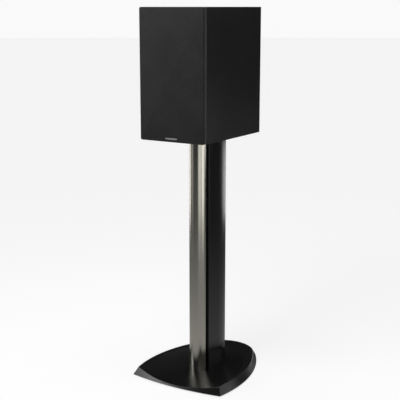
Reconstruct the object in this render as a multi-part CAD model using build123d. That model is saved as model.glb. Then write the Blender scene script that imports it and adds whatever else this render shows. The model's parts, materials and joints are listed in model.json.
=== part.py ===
from build123d import *
import os
from math import asin, cos, pi, radians, sin, sqrt

# A two-way bookshelf speaker on its floor stand. Millimetres, +Z up, the front faces -Y.
# The origin is on the floor under the middle of the whole object.

# ---------------------------------------------------------------- driving dimensions
cabinet_width = 206.0
cabinet_height = 360.0
cabinet_depth = 298.0
panel_thickness = 16.0
baffle_thickness = 19.0
grille_depth = 13.9            # cloth face to the back of the grille frame
grille_gap = 0.5               # air between the grille frame and the cabinet
cloth_thickness = 1.2
grille_corner_radius = 5.0
grille_edge_radius = 3.0
window_half_width = 80.0
window_heights = [(16.0, 197.0), (213.0, 344.0)]   # low and high edge of each window
window_corner_cut = 12.0
window_peg_cut = 38.0          # larger cut that leaves wood around a peg
peg_inset = 28.0               # pegs from the cabinet's underside and top
peg_spacing = 140.0
peg_radius = 3.5
peg_length = 8.0
peg_clearance = 0.08
peg_chamfer = 0.8
cup_radius = 5.5               # peg cups pressed into the baffle
cup_length = 12.0
badge_width = 38.0
badge_height = 4.6
badge_centre = 9.6             # above the cabinet's underside
badge_thickness = 0.8
badge_corner = 1.5

brace_thickness = 10.0
brace_height = 200.0
brace_rim = 32.0               # width left beside the window
brace_rim_ends = 35.0
brace_window_corner = 25.0
foam_thickness = 12.0
foam_depth = 200.0
foam_height = 160.0

woofer_height = 112.0          # centre above the cabinet's underside
woofer_radius = 82.0
woofer_opening = 70.0
woofer_screw_ring = 76.0
woofer_screw_count = 6
woofer_ledge = 66.0            # edge that the surround is glued to
tweeter_height = 268.0
tweeter_radius = 52.0
tweeter_opening = 38.0
tweeter_screw_ring = 46.0
tweeter_screw_count = 4
driver_seat = 4.0              # depth of the recess for a driver's rim
glue_gap = 0.05

port_height = 270.0
port_inner = 24.0
port_outer = 27.0
port_length = 105.0
port_flange = 37.0
port_flare = 8.0
flange_thickness = 2.5
terminal_height = 110.0
cup_width = 80.0               # terminal cup
cup_height = 56.0
cup_depth = 26.0
cup_wall = 2.5
cup_rim_width = 9.0
cup_rim_height = 8.0
cup_corner = 5.0
cup_screw_x = 43.5
cup_screw_z = 22.0
post_spacing = 19.0
post_radius = 4.0
post_length = 22.0             # from the cup's floor to the post's tip
post_tail = 12.0               # behind the cup, where the lead is soldered
post_collar_radius = 6.0
post_collar = 1.5
post_nut = 3.5
plug_bore_radius = 2.0
plug_bore_length = 16.0
washer_thickness = 1.0
knob_radius = 6.4
knob_overhang = 0.6            # past the post's tip
knob_flutes = 12
flute_radius = 0.7
running_gap = 0.05             # between a thread and what turns on it

stand_height = 711.0           # floor to the cabinet's underside
foot_clearance = 2.0           # floor to the underside of the base casting
base_height = 23.0
base_half_width = 150.0        # at the two front corners
base_front = 151.0             # front corners, ahead of the centre line of the column
base_front_bulge = 15.0
base_rear_radius = 104.0
base_rear_centre = 118.0       # rear arc's centre, behind the centre line of the column
base_rear_shoulder = 35.0      # degrees above X where the rear arc meets the long sides
base_draft = 31.0              # slope of the base's walls, degrees from vertical
dish_floor = 5.0               # casting thickness at the lowest point of the dish
pocket_floor = 3.8             # casting thickness under the column
dish_half_width = 143.0
dish_half_length = 256.0
dish_centre = -110.0           # lowest point, ahead of the centre line of the column

trim_radius = 26.2
trim_wall = 2.4
trim_centre = -25.5            # seam between trim and column, ahead of the centre line
column_half_width = 33.0
column_side_flare = 1.0        # widening of the sides from the front to the rear curve
column_setback = 5.0           # flat front of the column, behind the seam
column_rear = 112.0
column_straight = 35.0         # where the flat sides turn into the rear curve
column_wall = 3.0
column_corner = 1.5
column_front_wall = 15.0
neck_inset = 0.8               # black neck that carries the trim, inside the trim's edge
neck_depth = 10.0
column_screw_places = [(0.0, -8.0), (-17.0, 50.0), (17.0, 50.0)]   # from the centre line
column_screw_radius = 4.0
column_screw_head = 8.0
column_screw_length = 30.0
screw_port_wall = 3.5
screw_port_web = 4.0

foot_places = [(-118.0, -100.0), (118.0, -100.0), (-66.0, 158.0), (66.0, 158.0)]
foot_names = ["front_left", "front_right", "rear_left", "rear_right"]
foot_pad_radius = 12.0
foot_pad_height = 5.0
foot_plate = 1.0
foot_stud_radius = 4.0
foot_stud_length = 9.0
foot_recess = 1.0

top_plate_width = 120.0
top_plate_length = 200.0
top_plate_thickness = 4.0
top_plate_corner = 10.0
top_screw_head = 7.0
top_screw_head_height = 3.0
isolation_pad_height = 4.0
isolation_pad_radius = 10.0
isolation_pad_x = 45.0
isolation_pad_y = 85.0
hex_key = 2.5                  # socket radius and depth in the stand's screws

board_width = 90.0             # crossover board
board_length = 110.0
board_thickness = 1.6
board_setback = 40.0           # behind the centre line of the column
standoff_height = 6.0
standoff_inset = 6.0
lead_radius = 1.1
lead_bend = 7.0

# ---------------------------------------------------------------- worked out from them
base_length = base_front + base_front_bulge + base_rear_centre + base_rear_radius
axis_y = -(base_rear_centre + base_rear_radius) + base_length / 2   # column's centre line
cabinet_bottom = stand_height
cabinet_top = stand_height + cabinet_height
cabinet_front = axis_y - cabinet_depth / 2
cabinet_rear = axis_y + cabinet_depth / 2
inner_width = cabinet_width - 2 * panel_thickness
grille_back = cabinet_front - grille_gap
baffle_front = cabinet_front
baffle_back = baffle_front + baffle_thickness
rear_panel_front = cabinet_rear - panel_thickness
column_top = stand_height - isolation_pad_height - top_plate_thickness
column_foot = foot_clearance + pocket_floor
column_height = column_top - column_foot
woofer_z = cabinet_bottom + woofer_height
tweeter_z = cabinet_bottom + tweeter_height
terminal_z = cabinet_bottom + terminal_height
peg_heights = (peg_inset, cabinet_height - peg_inset)
peg_places = [(side * peg_spacing / 2, z) for side in (-1, 1) for z in peg_heights]
cup_low_z = terminal_z - cup_height / 2
cup_floor_y = cabinet_rear + flange_thickness - cup_depth
post_tip_y = cup_floor_y + post_length
post_tail_y = cup_floor_y - cup_wall - post_tail
board_z = cabinet_bottom + panel_thickness + standoff_height
board_top = board_z + board_thickness
board_y = axis_y + board_setback

parts = {}


# ---------------------------------------------------------------- helpers
def block(width, depth, height, x, y, z):
    """A box from its middle in X and Y and its underside in Z."""
    return Pos(x, y, z + height / 2) * Box(width, depth, height)


def rod(radius, length, x, y, z):
    """An upright cylinder standing on z."""
    return Pos(x, y, z + length / 2) * Cylinder(radius, length)


def rod_y(radius, length, x, y, z):
    """A cylinder along Y that starts at y and runs backwards."""
    return Pos(x, y + length / 2, z) * Rot(90, 0, 0) * Cylinder(radius, length)


def turned(outline, z, y=None):
    """A piece turned about the driver axis, from (radius, height out of the baffle) points."""
    points = [(r, 0, h) for r, h in outline]
    profile = make_face(Polyline(*points, close=True))
    front = baffle_front if y is None else y
    return Pos(0, front, z) * Rot(90, 0, 0) * revolve(profile, Axis.Z)


def turned_curves(curves, z, y=None):
    """The same, from joined edges in the XZ plane."""
    front = baffle_front if y is None else y
    return Pos(0, front, z) * Rot(90, 0, 0) * revolve(make_face(curves), Axis.Z)


def ring_of(piece, count, radius, start_degrees, z, y=None):
    """Copies of a piece around a driver axis; the piece's own axis is local Z."""
    front = baffle_front if y is None else y
    copies = []
    for i in range(count):
        a = radians(start_degrees + 360.0 * i / count)
        copies.append(Pos(radius * cos(a), front, z + radius * sin(a)) * Rot(90, 0, 0) * piece)
    return copies


def screw(head_radius, head_height, shank_radius, shank_length, hole=False):
    """A socket-head screw along Z, the underside of its head at 0; or the hole that it fills."""
    head = Pos(0, 0, head_height / 2) * Cylinder(head_radius, head_height)
    shank = Pos(0, 0, -shank_length / 2) * Cylinder(shank_radius, shank_length)
    if hole:
        return head + shank
    socket = extrude(RegularPolygon(head_radius * 0.5, 6), head_height * 0.6)
    return head + shank - Pos(0, 0, head_height * 0.4) * socket


def cap_arc(radius, low, top):
    """Half of a spherical cap's section, from its crown on the axis to its rim."""
    rise = top - low
    sphere = (radius ** 2 + rise ** 2) / (2 * rise)
    half = asin(radius / sphere) / 2
    return ThreePointArc((0, 0, top), (sphere * sin(half), 0, top - sphere + sphere * cos(half)),
                         (radius, 0, low))


def group(pieces):
    """Separate solids that share one node."""
    solids = []
    for piece in pieces:
        solids.extend(piece.solids())
    return Compound(children=solids)


# ---------------------------------------------------------------- stand: base
def base_outline():
    """Shield-shaped outline: bulged front, long curved sides, round rear."""
    front_y = axis_y - base_front
    rear = CenterArc((0, axis_y + base_rear_centre), base_rear_radius,
                     base_rear_shoulder, 180 - 2 * base_rear_shoulder)
    right = TangentArc(rear @ 0, (base_half_width, front_y), tangent=-(rear % 0))
    left = mirror(right, Plane.YZ)
    front = ThreePointArc((-base_half_width, front_y), (0, front_y - base_front_bulge),
                          (base_half_width, front_y))
    return make_face([rear, right, left, front])


def dish_space():
    """The space above the dish: a shallow bowl, part of a very large torus."""
    depth = base_height - dish_floor
    across = (dish_half_width ** 2 + depth ** 2) / (2 * depth)
    along = (dish_half_length ** 2 + depth ** 2) / (2 * depth)
    low = foot_clearance + dish_floor
    half = dish_half_width + 40.0
    rise = across - sqrt(across ** 2 - half ** 2)
    ceiling = low + rise + 20.0
    y = axis_y + dish_centre
    bowl = ThreePointArc((-half, y, low + rise), (0, y, low), (half, y, low + rise))
    lid = Polyline((half, y, low + rise), (half, y, ceiling), (-half, y, ceiling), (-half, y, low + rise))
    swing = 14.0
    pivot = Axis((0, y, low + along), (1, 0, 0))
    return revolve(make_face([bowl, lid]).rotate(pivot, -swing), pivot, 2 * swing)


def base_screw(x, y):
    """A countersunk screw up into one of the column's screw ports."""
    head = Cone(column_screw_head, column_screw_radius, pocket_floor)
    head = Pos(x, axis_y + y, foot_clearance + pocket_floor / 2) * head
    return head + rod(column_screw_radius, column_screw_length, x, axis_y + y, column_foot)


def build_base():
    casting = Pos(0, 0, foot_clearance) * extrude(base_outline(), base_height, taper=base_draft)
    seat = extrude(column_outline(), base_height)
    seat = fillet(seat.edges().filter_by(Axis.Z).group_by(Axis.Y)[0], column_corner)
    seat += rod(trim_radius + glue_gap, base_height, 0, axis_y + trim_centre, 0)
    casting -= Pos(0, 0, column_foot) * seat
    for x, y in foot_places:
        hole = foot_stud_radius + running_gap
        pocket = foot_pad_height - foot_clearance + foot_recess
        casting -= rod(foot_pad_radius + 1.0, pocket, x, axis_y + y, foot_clearance)
        casting -= rod(hole, pocket + foot_stud_length, x, axis_y + y, foot_clearance)
    for x, y in column_screw_places:
        casting -= base_screw(x, y)
    return casting - dish_space()


def build_feet():
    for name, (x, y) in zip(foot_names, foot_places):
        rubber = foot_pad_height - foot_plate
        pad = rod(foot_pad_radius, rubber, x, axis_y + y, 0)
        pad = fillet(pad.edges().group_by(Axis.Z)[0], foot_plate)
        plate = rod(foot_pad_radius - foot_plate, foot_plate, x, axis_y + y, rubber)
        shank = rod(foot_stud_radius, foot_stud_length, x, axis_y + y, foot_pad_height)
        parts["foot_pad_" + name] = pad
        parts["foot_stud_" + name] = plate + shank


# ---------------------------------------------------------------- stand: column
def column_outline(inset=0.0):
    """Wing section: flat front with straight sides and an elliptical rear."""
    front_y = axis_y + trim_centre + column_setback + inset
    half_front = column_half_width - inset
    half_side = column_half_width + column_side_flare - inset
    straight_y = axis_y + column_straight
    rear_length = column_rear - column_straight - inset
    rear = EllipticalCenterArc((0, straight_y), half_side, rear_length, start_angle=0, arc_size=180)
    right = Line((half_front, front_y), (half_side, straight_y))
    left = Line((-half_side, straight_y), (-half_front, front_y))
    front = Line((-half_front, front_y), (half_front, front_y))
    return make_face([rear, right, left, front])


def build_column():
    height = column_height
    outer = extrude(column_outline(), height)
    corners = outer.edges().filter_by(Axis.Z).group_by(Axis.Y)[0]
    outer = fillet(corners, column_corner)
    hollow = extrude(column_outline(column_wall), height)
    seam_y = axis_y + trim_centre
    front_middle = seam_y + column_setback + column_front_wall / 2
    front_wall = block(2 * column_half_width, column_front_wall, height, 0, front_middle, 0)
    column = outer - (hollow - front_wall)
    neck = block(2 * (trim_radius - neck_inset), neck_depth, height, 0, seam_y + neck_depth / 2, 0)
    nose = block(2 * (trim_radius - trim_wall) - 8.0, 23.0, height, 0, seam_y + 0.5, 0)
    column += neck + nose
    for x, y in column_screw_places:
        port = rod(column_screw_radius + screw_port_wall, height, x, axis_y + y, 0)
        column += port & outer
        if x != 0:
            into_wall = column_half_width + column_side_flare - column_wall / 2
            side = into_wall if x > 0 else -into_wall
            column += block(abs(side - x), screw_port_web, height, (x + side) / 2, axis_y + y, 0)
    for x, y in column_screw_places:
        column -= rod(column_screw_radius, height, x, axis_y + y, 0)
    return Pos(0, 0, column_foot) * column


def build_trim():
    height = column_height
    centre = Pos(0, axis_y + trim_centre, height / 2)
    shell = centre * (Cylinder(trim_radius, height) - Cylinder(trim_radius - trim_wall, height))
    shell -= block(3 * trim_radius, 2 * trim_radius, height, 0, axis_y + trim_centre + trim_radius, 0)
    return Pos(0, 0, column_foot) * shell


def build_stand():
    parts["base_casting"] = build_base()
    parts["column_extrusion"] = build_column()
    parts["column_trim"] = build_trim()
    screws = []
    for x, y in column_screw_places:
        socket = Pos(x, axis_y + y, foot_clearance) * extrude(RegularPolygon(hex_key, 6), hex_key)
        screws.append(base_screw(x, y) - socket)
    parts["base_screws"] = group(screws)

    sheet = RectangleRounded(top_plate_width, top_plate_length, top_plate_corner)
    plate = Pos(0, axis_y, column_top) * extrude(sheet, top_plate_thickness)
    plate_top = column_top + top_plate_thickness
    top_screws = []
    for x, y in column_screw_places:
        head = Cone(column_screw_radius, top_screw_head, top_screw_head_height)
        head = Pos(x, axis_y + y, plate_top - top_screw_head_height / 2) * head
        shank_top = plate_top - top_screw_head_height
        shank = rod(column_screw_radius, column_screw_length + 1.0, x, axis_y + y,
                    shank_top - column_screw_length - 1.0)
        socket = Pos(x, axis_y + y, plate_top - 2.0) * extrude(RegularPolygon(hex_key, 6), 2.0)
        fastener = head + shank
        plate -= fastener
        top_screws.append(fastener - socket)
    parts["stand_top_plate"] = plate
    parts["top_plate_screws"] = group(top_screws)
    pads = []
    for x in (-isolation_pad_x, isolation_pad_x):
        for y in (-isolation_pad_y, isolation_pad_y):
            pads.append(rod(isolation_pad_radius, isolation_pad_height, x, axis_y + y, plate_top))
    parts["isolation_pads"] = group(pads)
    build_feet()


# ---------------------------------------------------------------- cabinet
def mitred_panel(long_side, height_out, turn):
    """A panel whose long edges are mitred at 45 degrees, running the cabinet's full depth."""
    t = panel_thickness
    half = long_side / 2
    section = Polyline((-half, 0), (half, 0), (half - t, -t), (-half + t, -t), close=True)
    face = Plane.XZ * make_face(section)
    slab = extrude(face, cabinet_depth / 2, both=True)
    middle_z = cabinet_bottom + cabinet_height / 2
    return Pos(0, axis_y, middle_z) * Rot(0, turn, 0) * Pos(0, 0, height_out) * slab


def build_cabinet():
    parts["top_panel"] = mitred_panel(cabinet_width, cabinet_height / 2, 0)
    parts["bottom_panel"] = mitred_panel(cabinet_width, cabinet_height / 2, 180)
    parts["right_panel"] = mitred_panel(cabinet_height, cabinet_width / 2, 90)
    parts["left_panel"] = mitred_panel(cabinet_height, cabinet_width / 2, -90)

    inner_height = cabinet_height - 2 * panel_thickness
    floor = cabinet_bottom + panel_thickness
    baffle_middle = baffle_front + baffle_thickness / 2
    baffle = block(inner_width, baffle_thickness, inner_height, 0, baffle_middle, floor)
    for radius, opening, z in ((woofer_radius, woofer_opening, woofer_z),
                               (tweeter_radius, tweeter_opening, tweeter_z)):
        baffle -= rod_y(radius, driver_seat, 0, baffle_front, z)
        baffle -= rod_y(opening, baffle_thickness, 0, baffle_front, z)
    cups = []
    for x, z in peg_places:
        cup = rod_y(cup_radius, cup_length, x, baffle_front, cabinet_bottom + z)
        baffle -= cup
        hole = rod_y(peg_radius + peg_clearance, peg_length + 1.0, x, baffle_front, cabinet_bottom + z)
        cups.append(cup - hole)
    baffle -= group(woofer_screw_set(hole=True))
    baffle -= group(tweeter_screw_set(hole=True))
    parts["front_baffle"] = baffle
    parts["peg_cups"] = group(cups)

    rear_middle = cabinet_rear - panel_thickness / 2
    rear = block(inner_width, panel_thickness, inner_height, 0, rear_middle, floor)
    rear -= rod_y(port_outer, panel_thickness, 0, rear_panel_front, cabinet_bottom + port_height)
    rear -= block(cup_width, panel_thickness, cup_height, 0, rear_middle, cup_low_z)
    rear -= group(terminal_screw_set(hole=True))
    parts["rear_panel"] = rear

    brace_depth = rear_panel_front - baffle_back
    brace_y = (rear_panel_front + baffle_back) / 2
    brace = block(inner_width, brace_depth, brace_thickness, 0, brace_y, cabinet_bottom + brace_height)
    window = RectangleRounded(inner_width - 2 * brace_rim, brace_depth - 2 * brace_rim_ends,
                              brace_window_corner)
    window = Pos(0, brace_y, cabinet_bottom + brace_height) * extrude(window, brace_thickness)
    parts["cabinet_brace"] = brace - window
    foam_x = -inner_width / 2 + foam_thickness / 2
    parts["damping_foam"] = block(foam_thickness, foam_depth, foam_height, foam_x, axis_y + 10.0,
                                  floor + 10.0)


# ---------------------------------------------------------------- rear: port and terminals
def terminal_screw_set(hole=False):
    screws = []
    for x in (-cup_screw_x, cup_screw_x):
        for z in (-cup_screw_z, cup_screw_z):
            place = Pos(x, cabinet_rear + flange_thickness, terminal_z + z)
            screws.append(place * Rot(-90, 0, 0) * screw(3.2, 2.0, 1.6, 15.0, hole))
    return screws


def build_port():
    r_in, r_out, flare = port_inner, port_outer, port_flare
    rear = flange_thickness
    bore_start = Line((r_in, 0, -port_length + rear), (r_in, 0, rear - flare))
    mouth = ThreePointArc((r_in, 0, rear - flare), (r_in + flare * (1 - cos(pi / 4)), 0,
                          rear - flare + flare * sin(pi / 4)), (r_in + flare, 0, rear))
    shell = Polyline((r_in + flare, 0, rear), (port_flange, 0, rear), (port_flange, 0, 0),
                     (r_out, 0, 0), (r_out, 0, -port_length + rear), (r_in, 0, -port_length + rear))
    tube = revolve(make_face([bore_start, mouth, shell]), Axis.Z)
    parts["port_tube"] = Pos(0, cabinet_rear, cabinet_bottom + port_height) * Rot(-90, 0, 0) * tube


def build_terminals():
    z = terminal_z
    rim = RectangleRounded(cup_width + 2 * cup_rim_width, cup_height + 2 * cup_rim_height, cup_corner + 1.0)
    cup = Pos(0, cabinet_rear, z) * extrude(Plane.XZ * rim, -flange_thickness)
    body_depth = cup_depth + cup_wall - flange_thickness
    cup += block(cup_width, body_depth, cup_height, 0, cabinet_rear - body_depth / 2, cup_low_z)
    inside = RectangleRounded(cup_width - 2 * cup_wall, cup_height - 2 * cup_wall, cup_corner)
    cup -= Pos(0, cup_floor_y, z) * extrude(Plane.XZ * inside, -cup_depth)
    cup -= group(terminal_screw_set(hole=True))
    posts = []
    for side, colour in ((-1, "black"), (1, "red")):
        x = side * post_spacing / 2
        stem_length = post_tip_y - post_tail_y
        stem = rod_y(post_radius, stem_length, x, post_tail_y, z)
        slip = post_radius + running_gap
        cup -= rod_y(slip, stem_length, x, post_tail_y, z)
        collar = rod_y(post_collar_radius, post_collar, x, cup_floor_y, z)
        nut = extrude(Plane.XZ * RegularPolygon(post_collar_radius + 0.5, 6), -post_nut)
        nut = Pos(x, cup_floor_y - cup_wall - post_nut, z) * nut
        bore = rod_y(plug_bore_radius, plug_bore_length, x, post_tip_y - plug_bore_length, z)
        posts.append(stem + collar + nut - bore)
        washer_y = cup_floor_y + post_collar
        washer = rod_y(post_collar_radius, washer_thickness, x, washer_y, z)
        parts[colour + "_washer"] = washer - rod_y(slip, washer_thickness, x, washer_y, z)
        knob_start = washer_y + washer_thickness
        knob_length = post_tip_y + knob_overhang - knob_start
        knob = rod_y(knob_radius, knob_length, x, knob_start, z)
        knob = chamfer(knob.edges().group_by(Axis.Y)[-1], 0.8)
        knob -= rod_y(slip, knob_length, x, knob_start, z)
        flute_ring = knob_radius + 0.2
        for i in range(knob_flutes):
            a = 2 * pi * i / knob_flutes
            knob -= rod_y(flute_radius, knob_length - 3.0, x + flute_ring * cos(a), knob_start,
                          z + flute_ring * sin(a))
        parts[colour + "_knob"] = knob
    parts["terminal_cup"] = cup
    parts["terminal_screws"] = group(terminal_screw_set())
    parts["binding_posts"] = group(posts)


# ---------------------------------------------------------------- woofer
def woofer_screw_set(hole=False):
    piece = screw(3.6, 2.2, 2.0, 17.0, hole)
    return ring_of(Pos(0, 0, -2.2) * piece, woofer_screw_count, woofer_screw_ring, 30.0, woofer_z)


def build_woofer():
    z = woofer_z
    ledge = woofer_ledge
    basket = turned([(ledge, 0), (woofer_radius, 0), (woofer_radius, -4), (69, -4), (46, -46),
                     (24, -46), (24, -43), (43, -43), (63, -6), (63, -3), (ledge, -3)], z)
    for i in range(6):
        window = Rot(0, -60.0 * i, 0) * Pos(56, 22, 0) * Box(30.0, 23.0, 30.0)
        basket -= Pos(0, baffle_front, z) * window
    tab = block(16.0, 5.0, 10.0, 0, baffle_front + 26.0, z + 50.0)
    basket += tab - rod_y(49.0, 60.0, 0, baffle_front, z)
    basket -= group(woofer_screw_set(hole=True))
    parts["woofer_basket"] = basket
    parts["woofer_screws"] = group(woofer_screw_set())
    parts["woofer_top_plate"] = turned([(17.8, -46), (42, -46), (42, -52), (17.8, -52)], z)
    parts["woofer_magnet"] = turned([(24, -52), (45, -52), (45, -68), (24, -68)], z)
    parts["woofer_back_plate"] = turned([(5, -46), (15.6, -46), (15.6, -68), (42, -68), (42, -74),
                                         (5, -74)], z)

    roll = 5.0
    wall = 0.8
    foot = 56.0
    edge = ledge - glue_gap
    crest = (foot + ledge - 3) / 2
    outer = ThreePointArc((foot, 0, -2.2), (crest, 0, roll - 2.2), (ledge - 3, 0, -2.2))
    lip = Polyline((ledge - 3, 0, -2.2), (edge, 0, -2.2), (edge, 0, -3), (ledge - 3 - wall, 0, -3))
    inner = ThreePointArc((ledge - 3 - wall, 0, -3), (crest, 0, roll - 3.1), (foot + wall, 0, -3))
    heel = Polyline((foot + wall, 0, -3), (foot, 0, -3), (foot, 0, -2.2))
    parts["woofer_surround"] = turned_curves([outer, lip, inner, heel], z)
    waves = []
    for i in range(9):
        waves.append((17.0 + 2.6 * i, -40.0 + (0.9 if i % 2 else -0.9)))
    upper = [(r, h + 0.4) for r, h in waves]
    lower = [(r, h - 0.4) for r, h in reversed(waves)]
    rim_of_spider = [(40, -39.6), (40, -43), (38.5, -43), (38.2, -41.5)]
    parts["woofer_spider"] = turned(upper + rim_of_spider + lower, z)

    throat = 17.0
    rim = ThreePointArc((throat, 0, -34), (39, 0, -17), (foot, 0, -3.2))
    back = ThreePointArc((foot, 0, -4.2), (39.6, 0, -18.2), (throat, 0, -35.2))
    parts["woofer_cone"] = turned_curves([rim, Line((foot, 0, -3.2), (foot, 0, -4.2)), back,
                                          Line((throat, 0, -35.2), (throat, 0, -34))], z)
    cap_foot = 23.0
    cap_low = -27.0
    crown = cap_arc(cap_foot, cap_low, -19.5)
    under = cap_arc(cap_foot - 1.2, cap_low, -20.3)
    parts["dust_cap"] = turned_curves([crown, Line((cap_foot, 0, cap_low), (cap_foot - 1.2, 0, cap_low)),
                                       under, Line((0, 0, -20.3), (0, 0, -19.5))], z)
    former = turned([(16.3, -31), (16.8, -31), (16.8, -56), (16.3, -56)], z)
    winding = turned([(16.8, -43), (17.3, -43), (17.3, -55), (16.8, -55)], z)
    parts["woofer_voice_coil"] = group([former, winding])


# ---------------------------------------------------------------- tweeter
def tweeter_screw_set(hole=False):
    piece = screw(3.2, 2.0, 1.8, 14.0, hole)
    return ring_of(Pos(0, 0, -2.0) * piece, tweeter_screw_count, tweeter_screw_ring, 45.0, tweeter_z)


def build_tweeter():
    z = tweeter_z
    horn = ThreePointArc((16.0, 0, -3.2), (26.0, 0, -1.4), (36.0, 0, 0))
    rest = Polyline((36.0, 0, 0), (tweeter_radius, 0, 0), (tweeter_radius, 0, -driver_seat),
                    (16.0, 0, -driver_seat), (16.0, 0, -3.2))
    plate = turned_curves([horn, rest], z)
    plate -= group(tweeter_screw_set(hole=True))
    parts["tweeter_faceplate"] = plate
    parts["tweeter_screws"] = group(tweeter_screw_set())
    top = turned([(13.8, -5.5), (16, -5.5), (16, -4), (35, -4), (35, -9), (13.8, -9)], z)
    back = turned([(0, -6), (12.1, -6), (12.1, -21), (35, -21), (35, -25), (0, -25)], z)
    parts["tweeter_motor_plates"] = group([top, back])
    parts["tweeter_magnet"] = turned([(18, -9), (36, -9), (36, -21), (18, -21)], z)
    roll = ThreePointArc((13.4, 0, -4.6), (14.6, 0, -3.6), (15.8, 0, -4.6))
    under = ThreePointArc((15.8, 0, -5.0), (14.6, 0, -4.0), (13.4, 0, -5.0))
    parts["tweeter_suspension"] = turned_curves([roll, Line((15.8, 0, -4.6), (15.8, 0, -5.0)), under,
                                                 Line((13.4, 0, -5.0), (13.4, 0, -4.6))], z)
    crown = cap_arc(13.0, -4.6, 0.4)
    shell = cap_arc(12.6, -4.9, 0.0)
    parts["tweeter_dome"] = turned_curves([crown, Line((13.0, 0, -4.6), (12.6, 0, -4.9)), shell,
                                           Line((0, 0, 0.0), (0, 0, 0.4))], z)
    parts["tweeter_coil"] = turned([(12.6, -4.95), (13.0, -4.95), (13.0, -10), (12.6, -10)], z)


# ---------------------------------------------------------------- crossover and leads
def lead(points):
    """A thin insulated wire: straight runs joined by arcs, all of one radius."""
    route = FilletPolyline(*points, radius=lead_bend)
    start = Plane(origin=points[0], z_dir=route % 0)
    return sweep(start * Circle(lead_radius), path=route)


def build_crossover():
    board = block(board_width, board_length, board_thickness, 0, board_y, board_z)
    standoffs = []
    corner_x = board_width / 2 - standoff_inset
    corner_y = board_length / 2 - standoff_inset
    for x in (-corner_x, corner_x):
        for y in (-corner_y, corner_y):
            post = rod(3.0, standoff_height, x, board_y + y, board_z - standoff_height)
            pin = rod(1.5, board_thickness, x, board_y + y, board_z)
            cap = rod(2.8, 1.8, x, board_y + y, board_top)
            board -= pin
            standoffs.append(post + pin + cap)
    parts["crossover_board"] = board
    parts["board_standoffs"] = group(standoffs)
    coil_y, choke_y, choke_z = board_y + 22, board_y + 18, board_top + 11.0
    coil = rod(19.0, 16.0, -16, coil_y, board_top) - rod(9.0, 16.0, -16, coil_y, board_top)
    choke = rod_y(11.0, 20.0, 24, choke_y, choke_z) - rod_y(4.0, 20.0, 24, choke_y, choke_z)
    parts["inductors"] = group([coil, choke])
    capacitors = []
    for y in (-8.0, -26.0):
        can = rod_y(8.0, 34.0, 0, -17.0, 0)
        capacitors.append(Pos(20.0, board_y + y, board_top + 8.0) * Rot(0, 0, 90) * can)
    parts["capacitors"] = group(capacitors)
    parts["resistors"] = group([block(8.0, 24.0, 8.0, -28, board_y - 18, board_top),
                                block(8.0, 24.0, 8.0, -14, board_y - 18, board_top)])

    leads = []
    for side in (-1, 1):
        x = side * post_spacing / 2
        leads.append(lead([(x, post_tail_y, terminal_z), (x, post_tail_y - 14, terminal_z),
                           (x, board_y + 48, board_top + 30), (x, board_y + 48, board_top)]))
        x = side * 4.0
        leads.append(lead([(x, board_y - 44, board_top), (x, board_y - 44, board_top + 30),
                           (x, board_y - 60, woofer_z + 34), (x, baffle_front + 46, woofer_z + 58),
                           (x, baffle_front + 28.5, woofer_z + 58)]))
        leads.append(lead([(x + 34, board_y - 44, board_top), (x + 34, board_y - 44, board_top + 60),
                           (x + 24, board_y - 60, tweeter_z - 90), (x, baffle_front + 60, tweeter_z - 10),
                           (x, baffle_front + 25, tweeter_z - 10)]))
    parts["internal_leads"] = group(leads)


# ---------------------------------------------------------------- grille
def tray_block(inset, depth):
    """The grille's outer form, set in from the cloth face by an inset."""
    width = cabinet_width - 2 * inset
    height = cabinet_height - 2 * inset
    sheet = RectangleRounded(width, height, grille_corner_radius - inset)
    form = extrude(Plane.XZ * sheet, depth)
    form = fillet(form.edges().group_by(Axis.Y)[0], grille_edge_radius - inset)
    return Pos(0, grille_back, cabinet_bottom + cabinet_height / 2) * form


def grille_window(low, high):
    """A window through the frame with its corners cut off for the pegs."""
    half = window_half_width
    cut_low = window_peg_cut if low < peg_inset else window_corner_cut
    cut_high = window_peg_cut if high > cabinet_height - peg_inset else window_corner_cut
    outline = Polyline((-half + cut_low, low), (half - cut_low, low), (half, low + cut_low),
                       (half, high - cut_high), (half - cut_high, high), (-half + cut_high, high),
                       (-half, high - cut_high), (-half, low + cut_low), close=True)
    opening = extrude(Plane.XZ * make_face(outline), 20.0)
    return Pos(0, grille_back + 2.0, cabinet_bottom) * opening


def build_grille():
    frame = tray_block(cloth_thickness, grille_depth - cloth_thickness)
    for low, high in window_heights:
        frame -= grille_window(low, high)
    parts["grille_frame"] = frame
    cloth = tray_block(0.0, grille_depth) - tray_block(cloth_thickness, grille_depth - cloth_thickness)
    parts["grille_cloth"] = cloth
    pegs = []
    for x, z in peg_places:
        peg = rod_y(peg_radius, peg_length + grille_gap, x, grille_back, cabinet_bottom + z)
        pegs.append(chamfer(peg.edges().group_by(Axis.Y)[-1], peg_chamfer))
    parts["grille_pegs"] = group(pegs)
    badge = Plane.XZ * RectangleRounded(badge_width, badge_height, badge_corner)
    place = Pos(0, grille_back - grille_depth, cabinet_bottom + badge_centre)
    parts["grille_badge"] = place * extrude(badge, badge_thickness)


# ---------------------------------------------------------------- build and write
build_stand()
build_cabinet()
build_port()
build_terminals()
build_woofer()
build_tweeter()
build_crossover()
build_grille()

os.makedirs("parts", exist_ok=True)
for name, shape in parts.items():
    export_step(shape, "parts/" + name + ".step")
print(len(parts), "nodes")
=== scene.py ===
import json
import math

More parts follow.
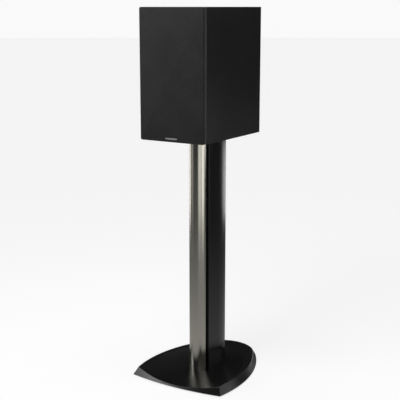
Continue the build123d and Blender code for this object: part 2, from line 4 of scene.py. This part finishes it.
import bmesh
import bpy
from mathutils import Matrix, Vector


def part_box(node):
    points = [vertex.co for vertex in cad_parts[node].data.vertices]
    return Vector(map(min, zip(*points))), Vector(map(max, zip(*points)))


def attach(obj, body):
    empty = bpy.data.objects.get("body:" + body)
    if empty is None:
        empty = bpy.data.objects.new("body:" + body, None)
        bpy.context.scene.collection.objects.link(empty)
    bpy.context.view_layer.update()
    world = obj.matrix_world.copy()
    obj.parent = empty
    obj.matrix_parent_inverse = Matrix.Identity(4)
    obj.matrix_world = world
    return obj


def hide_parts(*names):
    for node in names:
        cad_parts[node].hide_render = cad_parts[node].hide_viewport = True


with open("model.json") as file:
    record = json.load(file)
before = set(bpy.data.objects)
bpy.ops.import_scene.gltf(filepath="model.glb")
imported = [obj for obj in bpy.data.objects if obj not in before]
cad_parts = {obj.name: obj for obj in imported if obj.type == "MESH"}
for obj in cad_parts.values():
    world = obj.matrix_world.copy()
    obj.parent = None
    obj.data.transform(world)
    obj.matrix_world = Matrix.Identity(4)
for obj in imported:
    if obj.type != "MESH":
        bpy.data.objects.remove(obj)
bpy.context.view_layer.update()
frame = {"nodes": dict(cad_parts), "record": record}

MM = 0.001

# ------------------------------------------------------------------ shader arithmetic

MIX_FACTOR, MIX_FLOAT_A, MIX_FLOAT_B, MIX_FLOAT_RESULT = 0, 2, 3, 0     # sockets of a Mix node
MIX_COLOUR_A, MIX_COLOUR_B, MIX_COLOUR_RESULT = 6, 7, 2


class Value:
    """A socket that adds Math nodes when it is used in an expression."""

    def __init__(self, finish, socket):
        self.finish = finish
        self.socket = socket

    def math(self, operation, *others):
        return self.finish.node("ShaderNodeMath", {"operation": operation}, [self, *others])

    def __add__(self, other):
        return self.math("ADD", other)

    def __mul__(self, other):
        return self.math("MULTIPLY", other)

    __radd__ = __add__
    __rmul__ = __mul__

    def between(self, low, high):
        """0 at low and 1 at high, with a soft start and end."""
        limits = {"Value": self, "From Min": low, "From Max": high}
        return self.finish.node("ShaderNodeMapRange", {"interpolation_type": "SMOOTHSTEP"}, limits)


class Finish:
    """One procedural material around a Principled shader."""

    def __init__(self, name, colour, roughness, metallic=0.0, **constants):
        self.material = bpy.data.materials.new(name)
        self.material.use_nodes = True
        self.tree = self.material.node_tree
        self.tree.nodes.clear()
        self.shader = self.tree.nodes.new("ShaderNodeBsdfPrincipled")
        output = self.tree.nodes.new("ShaderNodeOutputMaterial")
        self.tree.links.new(self.shader.outputs[0], output.inputs["Surface"])
        self.place = self.node("ShaderNodeTexCoord", {}, {}, "Object")
        self.set("Base Color", colour)
        self.set("Roughness", roughness)
        self.set("Metallic", metallic)
        for key, value in constants.items():
            self.set(key.replace("_", " ").title().replace("Ior", "IOR"), value)

    def node(self, kind, settings, values, output=0):
        made = self.tree.nodes.new(kind)
        for key, value in settings.items():
            setattr(made, key, value)
        pairs = values.items() if isinstance(values, dict) else enumerate(values)
        for key, value in pairs:
            self.fill(made.inputs[key], value)
        return Value(self, made.outputs[output])

    def fill(self, socket, value):
        if isinstance(value, Value):
            self.tree.links.new(value.socket, socket)
        elif hasattr(value, "__len__") and len(value) == 3 and len(socket.default_value) == 4:
            socket.default_value = (*value, 1.0)
        else:
            socket.default_value = value

    def set(self, name, value):
        self.fill(self.shader.inputs[name], value)

    def stretched(self, scale):
        return self.node("ShaderNodeMapping", {}, {"Vector": self.place, "Scale": scale})

    def noise(self, scale, detail=3.0, roughness=0.5, stretch=(1, 1, 1)):
        values = {"Vector": self.stretched(stretch), "Scale": scale, "Detail": detail, "Roughness": roughness}
        return self.node("ShaderNodeTexNoise", {}, values)

    def cells(self, scale):
        return self.node("ShaderNodeTexVoronoi", {}, {"Vector": self.place, "Scale": scale})

    def blend(self, low, high, factor):
        """A colour between two, by a factor from 0 to 1."""
        values = {MIX_FACTOR: factor, MIX_COLOUR_A: low, MIX_COLOUR_B: high}
        return self.node("ShaderNodeMix", {"data_type": "RGBA"}, values, MIX_COLOUR_RESULT)

    def bump(self, height, strength, distance):
        values = {"Height": height, "Strength": strength, "Distance": distance}
        self.set("Normal", self.node("ShaderNodeBump", {}, values))


def shaded(colour, share):
    """A colour made darker or lighter by a share."""
    return [c * share for c in colour]


# ------------------------------------------------------------------ finishes


def grained(name, colour, spread, roughness, grain_scale, depth, **constants):
    """A satin coating: slow shade changes, roughness patches and a fine grain in the surface."""
    finish = Finish(name, colour, roughness, **constants)
    patches = finish.noise(9.0, 4.0)
    fine = finish.noise(grain_scale, 2.0, 0.6)
    dark = shaded(colour, 1 - spread)
    light = shaded(colour, 1 + spread)
    finish.set("Base Color", finish.blend(dark, light, patches * 0.5 + fine * 0.5))
    finish.set("Roughness", patches * 0.10 + fine * 0.08 + (roughness - 0.09))
    finish.bump(fine, 0.5, depth)
    return finish.material


def brushed(name, colour, roughness, along=(60, 60, 1)):
    """Metal with fine lines drawn along it and a slight haze."""
    finish = Finish(name, colour, roughness, 1.0)
    lines = finish.noise(40.0, 3.0, 0.6, along)
    haze = finish.noise(6.0, 3.0)
    dark = shaded(colour, 0.93)
    finish.set("Base Color", finish.blend(dark, colour, lines * 0.7 + haze * 0.3))
    finish.set("Roughness", lines * 0.10 + haze * 0.08 + (roughness - 0.09))
    finish.bump(lines, 0.25, 0.00004)
    return finish.material


def woven(name, colour, pitch, roughness=0.9):
    """Plain-weave cloth that follows the piece's own map, given in metres."""
    finish = Finish(name, colour, roughness)
    flat = finish.node("ShaderNodeUVMap", {}, {})
    across = finish.node("ShaderNodeSeparateXYZ", {}, [flat])
    up = Value(finish, across.socket.node.outputs["Y"])
    turns = 2 * math.pi / pitch
    wave_a = (across * turns).math("SINE")
    wave_b = (up * turns).math("SINE")
    threads = (wave_a * wave_b) * 0.5 + 0.5
    fuzz = finish.noise(900.0, 2.0, 0.7)
    mottle = finish.noise(150.0, 5.0, 0.7)
    clouds = finish.noise(14.0, 3.0)
    shade = (mottle * 0.5 + threads * 0.25 + clouds * 0.25).between(0.25, 0.75)
    dark = shaded(colour, 0.35)
    light = shaded(colour, 1.8)
    finish.set("Base Color", finish.blend(dark, light, shade))
    finish.set("Roughness", 0.78 + mottle * 0.2)
    finish.set("Sheen Weight", 0.08)
    finish.set("Sheen Roughness", 0.5)
    finish.set("Sheen Tint", (0.9, 0.92, 1.0, 1.0))
    finish.set("Specular IOR Level", 0.25)
    finish.bump(threads * 0.6 + fuzz * 0.4, 0.7, 0.0003)
    return finish.material


def plain_weave(name, colour, scale):
    """Cloth for hidden pieces, without its own map."""
    finish = Finish(name, colour, 0.85)
    spots = finish.cells(scale)
    soft = finish.noise(30.0, 3.0)
    mix = spots * 0.6 + soft * 0.4
    finish.set("Base Color", finish.blend(shaded(colour, 0.6), shaded(colour, 1.3), mix))
    finish.set("Roughness", 0.75 + soft * 0.2)
    finish.bump(spots, 0.6, 0.0004)
    return finish.material


def moulded(name, colour, roughness, **constants):
    """Glossy moulding with faint flow marks."""
    finish = Finish(name, colour, roughness, **constants)
    flow = finish.noise(22.0, 3.0, 0.5, (1, 1, 0.4))
    finish.set("Base Color", finish.blend(shaded(colour, 0.85), shaded(colour, 1.1), flow))
    finish.set("Roughness", flow * 0.12 + (roughness - 0.06))
    finish.bump(finish.noise(160.0, 2.0), 0.2, 0.00005)
    return finish.material


FINISHES = {
    "cabinet_wrap": grained("cabinet_wrap", (0.007, 0.007, 0.0074), 0.25, 0.34, 700.0, 0.00008,
                            specular_ior_level=0.33),
    "baffle_black": grained("baffle_black", (0.01, 0.01, 0.01), 0.3, 0.7, 500.0, 0.0001),
    "raw_board": grained("raw_board", (0.45, 0.33, 0.2), 0.25, 0.85, 300.0, 0.0003),
    "grille_cloth": woven("grille_cloth", (0.0085, 0.0085, 0.0089), 0.0011),
    "black_moulding": grained("black_moulding", (0.012, 0.012, 0.013), 0.2, 0.5, 400.0, 0.0001),
    "badge_metal": brushed("badge_metal", (0.42, 0.42, 0.42), 0.38, (1, 60, 60)),
    "champagne_metal": brushed("champagne_metal", (0.52, 0.50, 0.44), 0.24),
    "column_black": grained("column_black", (0.002, 0.002, 0.0022), 0.2, 0.24, 500.0, 0.00003,
                            specular_ior_level=0.4),
    "base_black": grained("base_black", (0.002, 0.002, 0.0021), 0.2, 0.3, 900.0, 0.00006,
                          specular_ior_level=0.6),
    "plate_black": grained("plate_black", (0.012, 0.012, 0.012), 0.2, 0.5, 600.0, 0.0001),
    "rubber_black": grained("rubber_black", (0.015, 0.015, 0.015), 0.25, 0.75, 300.0, 0.0002),
    "bolt_steel": brushed("bolt_steel", (0.18, 0.18, 0.19), 0.4, (20, 20, 20)),
    "stud_steel": brushed("stud_steel", (0.6, 0.6, 0.62), 0.35, (20, 20, 20)),
    "basket_grey": grained("basket_grey", (0.02, 0.02, 0.021), 0.3, 0.5, 350.0, 0.0002),
    "motor_steel": brushed("motor_steel", (0.5, 0.5, 0.5), 0.35, (20, 20, 20)),
    "ferrite": grained("ferrite", (0.05, 0.05, 0.055), 0.3, 0.6, 500.0, 0.0002),
    "cone_grey": grained("cone_grey", (0.03, 0.03, 0.033), 0.3, 0.5, 260.0, 0.0003),
    "cap_gloss": moulded("cap_gloss", (0.015, 0.015, 0.016), 0.22),
    "spider_cloth": plain_weave("spider_cloth", (0.5, 0.36, 0.16), 900.0),
    "coil_copper": brushed("coil_copper", (0.72, 0.36, 0.2), 0.35, (1, 1, 60)),
    "dome_silk": plain_weave("dome_silk", (0.03, 0.03, 0.03), 1500.0),
    "post_brass": brushed("post_brass", (0.83, 0.62, 0.28), 0.28, (20, 1, 20)),
    "red_plastic": moulded("red_plastic", (0.45, 0.012, 0.012), 0.3),
    "black_plastic": moulded("black_plastic", (0.012, 0.012, 0.012), 0.3),
    "board_green": grained("board_green", (0.03, 0.15, 0.06), 0.2, 0.4, 250.0, 0.0001),
    "capacitor_film": moulded("capacitor_film", (0.6, 0.42, 0.06), 0.35),
    "resistor_white": grained("resistor_white", (0.7, 0.68, 0.62), 0.1, 0.85, 300.0, 0.0003),
    "foam_grey": plain_weave("foam_grey", (0.12, 0.12, 0.13), 260.0),
    "lead_insulation": moulded("lead_insulation", (0.3, 0.01, 0.01), 0.4),
}

for entry in frame["record"]["subparts"]:
    node = frame["nodes"][entry["node"]]
    node.data.materials.clear()
    node.data.materials.append(FINISHES[entry["material_slot"]])

# ------------------------------------------------------------------ shaping helpers


def piece(name, bm, finish, body, smooth_degrees=35.0):
    """Turns a finished bmesh into an object that rides on a body."""
    mesh = bpy.data.meshes.new(name)
    bm.to_mesh(mesh)
    bm.free()
    made = bpy.data.objects.new(name, mesh)
    bpy.context.scene.collection.objects.link(made)
    mesh.materials.append(FINISHES[finish])
    mesh.shade_smooth()
    mesh.set_sharp_from_angle(angle=math.radians(smooth_degrees))
    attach(made, body)
    return made


def merged_copy(node):
    """A bmesh of a CAD node with its loose triangles joined and its flats made whole."""
    bm = bmesh.new()
    bm.from_mesh(frame["nodes"][node].data)
    bmesh.ops.remove_doubles(bm, verts=bm.verts, dist=1e-5)
    bmesh.ops.dissolve_limit(bm, angle_limit=math.radians(0.6), verts=bm.verts, edges=bm.edges)
    return bm


# ------------------------------------------------------------------ grille cloth

CORNER = 5.0 * MM
EDGE = 3.0 * MM
CLOTH = 0.8 * MM


def grille_skin():
    """Cloth stretched over the frame: front, rounded edges and sides in one sheet."""
    low, high = (Vector(v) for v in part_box("grille_cloth"))
    size = high - low
    middle = (low + high) / 2
    bm = bmesh.new()
    bmesh.ops.create_cube(bm, size=1.0)
    bmesh.ops.scale(bm, vec=size, verts=bm.verts)
    back = [f for f in bm.faces if f.normal.y > 0.5]
    bmesh.ops.delete(bm, geom=back, context="FACES_ONLY")
    upright = [e for e in bm.edges if abs((e.verts[0].co - e.verts[1].co).normalized().y) > 0.9]
    bmesh.ops.bevel(bm, geom=upright, offset=CORNER, offset_type="OFFSET", segments=6, profile=0.5,
                    affect="EDGES", material=-1)
    front = -size.y / 2
    rim = [e for e in bm.edges if all(abs(v.co.y - front) < 1e-6 for v in e.verts)]
    bmesh.ops.bevel(bm, geom=rim, offset=EDGE, offset_type="OFFSET", segments=4, profile=0.5,
                    affect="EDGES", material=-1)
    bmesh.ops.translate(bm, vec=middle, verts=bm.verts)
    bmesh.ops.recalc_face_normals(bm, faces=bm.faces)
    layer = bm.loops.layers.uv.new("cloth")
    for face in bm.faces:
        for loop in face.loops:
            co = loop.vert.co
            depth = co.y - low.y
            u = co.x + math.copysign(depth, co.x)
            v = co.z + math.copysign(depth, co.z - middle.z)
            loop[layer].uv = (u, v)
    skin = piece("grille_skin", bm, "grille_cloth", "grille")
    wall = skin.modifiers.new("wall", "SOLIDIFY")
    wall.thickness = CLOTH
    wall.offset = -1.0
    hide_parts("grille_cloth")
    return skin


grille_skin()

# ------------------------------------------------------------------ base casting

DISH_CENTRE = Vector((0.0, -138.0 * MM))
DISH_RADII = (143.0 * MM, 256.0 * MM)
DISH_FLOOR = 7.0 * MM
DISH_RINGS = 16
WALL_SLOPE = math.tan(math.radians(31.0))
RIM_FALL = 0.13            # fall of the rim band for each unit outwards
EASE = 1.2 * MM            # radius along the casting's edges
COLUMN_SEAT_AHEAD = 30 * MM    # flat of the pocket ahead of the column


def reach(co):
    """How far a point lies from the dish's middle: 1 on its rim, more outside."""
    return math.hypot((co.x - DISH_CENTRE.x) / DISH_RADII[0], (co.y - DISH_CENTRE.y) / DISH_RADII[1])


def dish_height(co, rim_height):
    return DISH_FLOOR + (rim_height - DISH_FLOOR) * reach(co) ** 2


def towards_middle(co, share):
    return DISH_CENTRE + (co.xy - DISH_CENTRE) * share


def inward(vert, ring):
    """The step square to a ring's two edges at a vertex that insets both of them by 1."""
    normals = []
    for edge in vert.link_edges:
        if edge in ring:
            along = (edge.other_vert(vert).co - vert.co).xy.normalized()
            across = Vector((-along.y, along.x))
            normals.append(across if across.dot(DISH_CENTRE - vert.co.xy) > 0 else -across)
    middle = (normals[0] + normals[1]).normalized()
    return middle / middle.dot(normals[0])


def grow(bm, ring, places):
    """Extrudes a ring of edges and puts each new vertex where a function says."""
    made = bmesh.ops.extrude_edge_only(bm, edges=ring)["geom"]
    edges = [g for g in made if isinstance(g, bmesh.types.BMEdge)]
    verts = [g for g in made if isinstance(g, bmesh.types.BMVert)]
    for vert, co in [(v, places(v)) for v in verts]:
        vert.co = co
    return [e for e in edges if e.is_boundary]


def base_shell():
    """The casting: straight walls, a rim band that falls outwards, an even dish and eased edges."""
    bm = merged_copy("base_casting")
    floor_height, rim_height = (corner[2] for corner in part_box("base_casting"))
    seat = [Vector(corner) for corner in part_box("column_extrusion")]

    def on_top(face):
        middle = face.calc_center_median()
        beside = seat[0].x - MM < middle.x < seat[1].x + MM
        along = seat[0].y - COLUMN_SEAT_AHEAD < middle.y < seat[1].y + MM
        return face.normal.z > 0.3 or (beside and along and middle.z > seat[0].z - 1e-5)

    def wall_top(vert):
        step = lean[vert.co.to_tuple(6)] * WALL_SLOPE

        def at(height):
            return Vector((*(vert.co.xy + step * (height - floor_height)), height))

        height = rim_height
        if reach(at(rim_height)) > 1.0:
            band = (at(rim_height).xy - DISH_CENTRE).length * (1 - 1 / reach(at(rim_height)))
            return at(rim_height - band * RIM_FALL)
        for _ in range(12):
            height = dish_height(at(height), rim_height)
        return at(height)

    def band_inside(vert):
        if reach(vert.co) <= 1.0:
            return vert.co.copy()
        return Vector((*towards_middle(vert.co, 1 / reach(vert.co)), rim_height))

    bmesh.ops.delete(bm, geom=[f for f in bm.faces if on_top(f)], context="FACES")
    ring = [e for e in bm.edges if e.is_boundary and all(v.co.z < floor_height + MM for v in e.verts)]
    members = set(ring)
    lean = {v.co.to_tuple(6): inward(v, members) for e in ring for v in e.verts}
    ring = grow(bm, ring, wall_top)
    ring = grow(bm, ring, band_inside)
    shares = [1 - k / DISH_RINGS for k in range(DISH_RINGS + 1)]
    for before, share in zip(shares, shares[1:]):
        def sunk(vert):
            flat = towards_middle(vert.co, share / before)
            return Vector((*flat, dish_height(flat, rim_height)))
        ring = grow(bm, ring, sunk)
    bmesh.ops.remove_doubles(bm, verts=bm.verts, dist=1e-6)
    bmesh.ops.holes_fill(bm, edges=[e for e in bm.edges if e.is_boundary], sides=0)
    bmesh.ops.recalc_face_normals(bm, faces=bm.faces)
    shell = piece("base_shell", bm, "base_black", "stand", 20.0)
    ease = shell.modifiers.new("eased edges", "BEVEL")
    ease.width = EASE
    ease.segments = 3
    ease.limit_method = "ANGLE"
    ease.angle_limit = math.radians(30.0)
    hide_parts("base_casting")
    return shell


base_shell()

# ------------------------------------------------------------------ studio

AZIMUTH = math.radians(31.9)
PITCH = math.radians(12.1)
DISTANCE = 2.563
SIDEWAYS = 8.6 * MM
AXIS_Y = -28.0 * MM
LENS = 81.1

FLOOR_RADIUS = 30.0
FLOOR_SHADE = 0.5
FLOOR_GLOW = 0.56
BACKDROP = 0.95            # what the camera sees behind the object
SOFT_FILL = 0.24           # even light from all around
WALL_GLOW = 0.016          # what polished faces mirror above the horizon
SWEEP_GLOW = 0.60          # and far below it
SWEEP_START, SWEEP_END = -0.22, -0.42     # height of the sweep's edge, as a direction's Z


def camera():
    """Looks down from the height of the cabinet's top, from ahead and to the right."""
    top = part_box("top_panel")[1][2]
    ahead = Vector((math.sin(AZIMUTH), -math.cos(AZIMUTH), 0.0))
    right = Vector((math.cos(AZIMUTH), math.sin(AZIMUTH), 0.0))
    place = Vector((0.0, AXIS_Y, top)) + ahead * DISTANCE - right * SIDEWAYS
    data = bpy.data.cameras.new("camera")
    data.lens = LENS
    data.clip_end = 60.0
    made = bpy.data.objects.new("camera", data)
    made.location = place
    made.rotation_euler = (math.pi / 2 - PITCH, 0.0, AZIMUTH)
    bpy.context.scene.collection.objects.link(made)
    bpy.context.scene.camera = made


def around(angle, distance, height):
    """A place at an angle from the front, measured towards the object's right, in degrees."""
    turn = math.radians(angle)
    return Vector((math.sin(turn) * distance, AXIS_Y - math.cos(turn) * distance, height))


def softbox(name, place, target, width, height, radiance, fills=False):
    """A flat panel of even light that faces its target; it only fills shade when told to."""
    data = bpy.data.lights.new(name, "AREA")
    data.shape = "RECTANGLE"
    data.size = width
    data.size_y = height
    data.energy = radiance * math.pi * width * height
    made = bpy.data.objects.new(name, data)
    made.location = place
    made.rotation_euler = (Vector(target) - Vector(place)).to_track_quat("-Z", "Y").to_euler()
    made.visible_camera = False
    made.visible_diffuse = fills
    bpy.context.scene.collection.objects.link(made)


def floor():
    """A wide pale disc that glows a little, so that it stays white under soft light."""
    bm = bmesh.new()
    bmesh.ops.create_circle(bm, cap_ends=True, cap_tris=False, segments=96, radius=FLOOR_RADIUS)
    mesh = bpy.data.meshes.new("floor")
    bm.to_mesh(mesh)
    bm.free()
    made = bpy.data.objects.new("floor", mesh)
    bpy.context.scene.collection.objects.link(made)
    paint = Finish("floor_paint", [FLOOR_SHADE] * 3, 0.9, specular_ior_level=0.0)
    paint.set("Emission Color", [FLOOR_GLOW] * 3)
    paint.set("Emission Strength", 1.0)
    mesh.materials.append(paint.material)
    made.visible_glossy = False


def surroundings():
    """White behind the object, dim walls and a pale sweep in what it reflects."""
    world = bpy.data.worlds.new("studio")
    bpy.context.scene.world = world
    world.use_nodes = True
    tree = world.node_tree
    tree.nodes.clear()
    ray = tree.nodes.new("ShaderNodeLightPath")
    direction = tree.nodes.new("ShaderNodeTexCoord")
    split = tree.nodes.new("ShaderNodeSeparateXYZ")
    sweep = tree.nodes.new("ShaderNodeMapRange")
    sweep.interpolation_type = "SMOOTHSTEP"
    for number, value in ((1, SWEEP_START), (2, SWEEP_END), (3, WALL_GLOW), (4, SWEEP_GLOW)):
        sweep.inputs[number].default_value = value
    by_ray = {}
    for flag in ("Is Glossy Ray", "Is Camera Ray"):
        by_ray[flag] = tree.nodes.new("ShaderNodeMix")
        by_ray[flag].data_type = "FLOAT"
        tree.links.new(ray.outputs[flag], by_ray[flag].inputs[MIX_FACTOR])
    mirrored, seen = by_ray.values()
    mirrored.inputs[MIX_FLOAT_A].default_value = SOFT_FILL
    seen.inputs[MIX_FLOAT_B].default_value = BACKDROP
    glow = tree.nodes.new("ShaderNodeBackground")
    glow.inputs["Color"].default_value = (1.0, 1.0, 1.0, 1.0)
    output = tree.nodes.new("ShaderNodeOutputWorld")
    tree.links.new(direction.outputs["Generated"], split.inputs[0])
    tree.links.new(split.outputs[2], sweep.inputs[0])
    tree.links.new(sweep.outputs[0], mirrored.inputs[MIX_FLOAT_B])
    tree.links.new(mirrored.outputs[MIX_FLOAT_RESULT], seen.inputs[MIX_FLOAT_A])
    tree.links.new(seen.outputs[MIX_FLOAT_RESULT], glow.inputs["Strength"])
    tree.links.new(glow.outputs[0], output.inputs["Surface"])


def studio():
    floor()
    surroundings()
    sun = bpy.data.lights.new("ceiling", "SUN")
    sun.energy = 1.4
    sun.angle = math.radians(60)
    made = bpy.data.objects.new("ceiling", sun)
    made.rotation_euler = (math.radians(-8), 0, 0)
    bpy.context.scene.collection.objects.link(made)
    middle = Vector((0, AXIS_Y, 0.35))
    softbox("right", around(50, 1.9, 0.40), middle, 1.25, 0.75, 1.2)
    softbox("far_right", around(92, 1.9, 0.40), middle, 1.25, 0.75, 1.7)
    softbox("left", around(-100, 1.9, 0.45), middle, 1.3, 0.9, 1.8)
    softbox("left_front", around(-52, 2.2, 0.45), middle, 1.4, 0.9, 0.35)
    softbox("key", around(-50, 1.9, 1.20), (0, AXIS_Y, 0), 1.0, 0.7, 7.0)
    softbox("behind", around(178, 2.0, 0.20), (0, AXIS_Y, 0.1), 1.1, 0.4, 1.6)
    softbox("brow", (-0.05, -0.62, 1.55), (0.0, -0.19, 0.95), 0.45, 0.25, 19.5, fills=True)
    softbox("shoulder", around(150, 1.8, 1.6), (0.1, AXIS_Y, 0.95), 0.8, 0.4, 3.4)
    softbox("low_right", around(124, 2.0, 0.52), (0, AXIS_Y, 0), 0.7, 0.22, 3.4)
    bpy.context.scene.view_settings.view_transform = "Standard"


studio()
camera()
